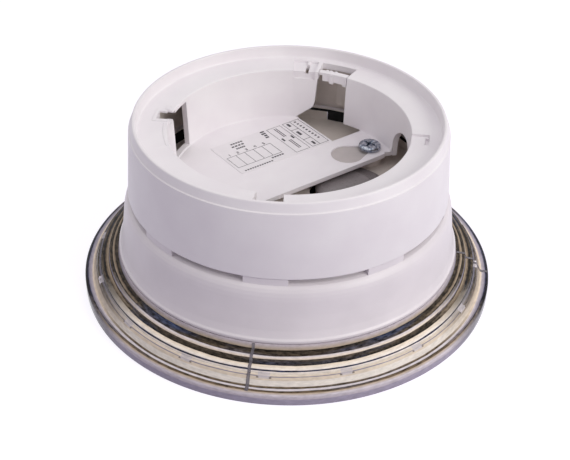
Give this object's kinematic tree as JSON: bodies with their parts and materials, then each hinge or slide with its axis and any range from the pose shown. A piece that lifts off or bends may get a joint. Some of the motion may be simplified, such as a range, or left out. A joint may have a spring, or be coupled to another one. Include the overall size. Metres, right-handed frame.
{
  "type": "smoke detector sounder beacon base",
  "caption": "Round white ceiling base for a smoke detector, with an empty bayonet well, an inner sounder, tone switch and a clear stepped beacon lens ring.",
  "frame": {"origin": "centre of the ceiling face, on the round axis, at the bottom of the part as it lies on that face", "axes": "+Z out of the ceiling face towards the detector well, +X along the line through the two fixing screws, +Y towards the closed half of the well floor"},
  "size_m": [0.1498, 0.1498, 0.0655],
  "materials": {
    "white_plastic": "satin",
    "label_film": "satin",
    "zinc_steel": "bright",
    "clear_polycarbonate": "clear",
    "black_rubber": "matte",
    "black_plastic": "matte",
    "black_gauze": "matte",
    "cream_laminate": "satin",
    "led_epoxy": "gloss",
    "grey_ribbon": "satin",
    "green_laminate": "gloss",
    "dark_component": "matte",
    "capacitor_sleeve": "gloss",
    "grey_plastic": "satin",
    "sounder_brass": "bright",
    "sounder_ceramic": "matte",
    "green_plastic": "satin",
    "clamp_steel": "bright",
    "red_plastic": "satin",
    "lever_plastic": "satin"
  },
  "bodies": {
    "base": {"base_plate": "black_plastic", "base_screw_1": "zinc_steel", "base_screw_2": "zinc_steel", "base_screw_3": "zinc_steel", "board_screw_1": "zinc_steel", "board_screw_2": "zinc_steel", "board_screw_3": "zinc_steel", "cable_grommet": "black_rubber", "fixing_screw_1": "zinc_steel", "fixing_screw_2": "zinc_steel", "inductor": "dark_component", "led_1": "led_epoxy", "led_10": "led_epoxy", "led_11": "led_epoxy", "led_12": "led_epoxy", "led_13": "led_epoxy", "led_14": "led_epoxy", "led_15": "led_epoxy", "led_16": "led_epoxy", "led_2": "led_epoxy", "led_3": "led_epoxy", "led_4": "led_epoxy", "led_5": "led_epoxy", "led_6": "led_epoxy", "led_7": "led_epoxy", "led_8": "led_epoxy", "led_9": "led_epoxy", "led_board": "cream_laminate", "led_lead": "grey_ribbon", "lens_gasket": "black_rubber", "lens_ring": "clear_polycarbonate", "lower_housing": "white_plastic", "main_board": "green_laminate", "microcontroller": "dark_component", "settings_label": "label_film", "sound_gauze": "black_gauze", "sounder_body": "dark_component", "sounder_ceramic": "sounder_ceramic", "sounder_cover": "grey_plastic", "sounding_disc": "sounder_brass", "storage_capacitor_1": "capacitor_sleeve", "storage_capacitor_2": "capacitor_sleeve", "terminal_block": "green_plastic", "terminal_screw_1": "zinc_steel", "terminal_screw_2": "zinc_steel", "terminal_screw_3": "zinc_steel", "terminal_screw_4": "zinc_steel", "tone_switch_body": "red_plastic", "upper_housing": "white_plastic", "wire_clamp_1": "clamp_steel", "wire_clamp_2": "clamp_steel", "wire_clamp_3": "clamp_steel", "wire_clamp_4": "clamp_steel"},
    "detent_bar": {"detent_bar": "white_plastic"},
    "tone_lever_1": {"tone_lever_1": "lever_plastic"},
    "tone_lever_2": {"tone_lever_2": "lever_plastic"},
    "tone_lever_3": {"tone_lever_3": "lever_plastic"},
    "tone_lever_4": {"tone_lever_4": "lever_plastic"},
    "tone_lever_5": {"tone_lever_5": "lever_plastic"}
  },
  "joints": [
    {"name": "detent_flex", "type": "slide", "parent": "base", "child": "detent_bar", "axis": [0.8572, 0.515, 0], "range_m": [0, 0.0012], "stiffness_N_per_m": 6000},
    {"name": "tone_slide_1", "type": "slide", "parent": "base", "child": "tone_lever_1", "axis": [0, 1, 0], "range_m": [0, 0.0014]},
    {"name": "tone_slide_2", "type": "slide", "parent": "base", "child": "tone_lever_2", "axis": [0, 1, 0], "range_m": [0, 0.0014]},
    {"name": "tone_slide_3", "type": "slide", "parent": "base", "child": "tone_lever_3", "axis": [0, 1, 0], "range_m": [0, 0.0014]},
    {"name": "tone_slide_4", "type": "slide", "parent": "base", "child": "tone_lever_4", "axis": [0, 1, 0], "range_m": [0, 0.0014]},
    {"name": "tone_slide_5", "type": "slide", "parent": "base", "child": "tone_lever_5", "axis": [0, 1, 0], "range_m": [0, 0.0014]}
  ]
}
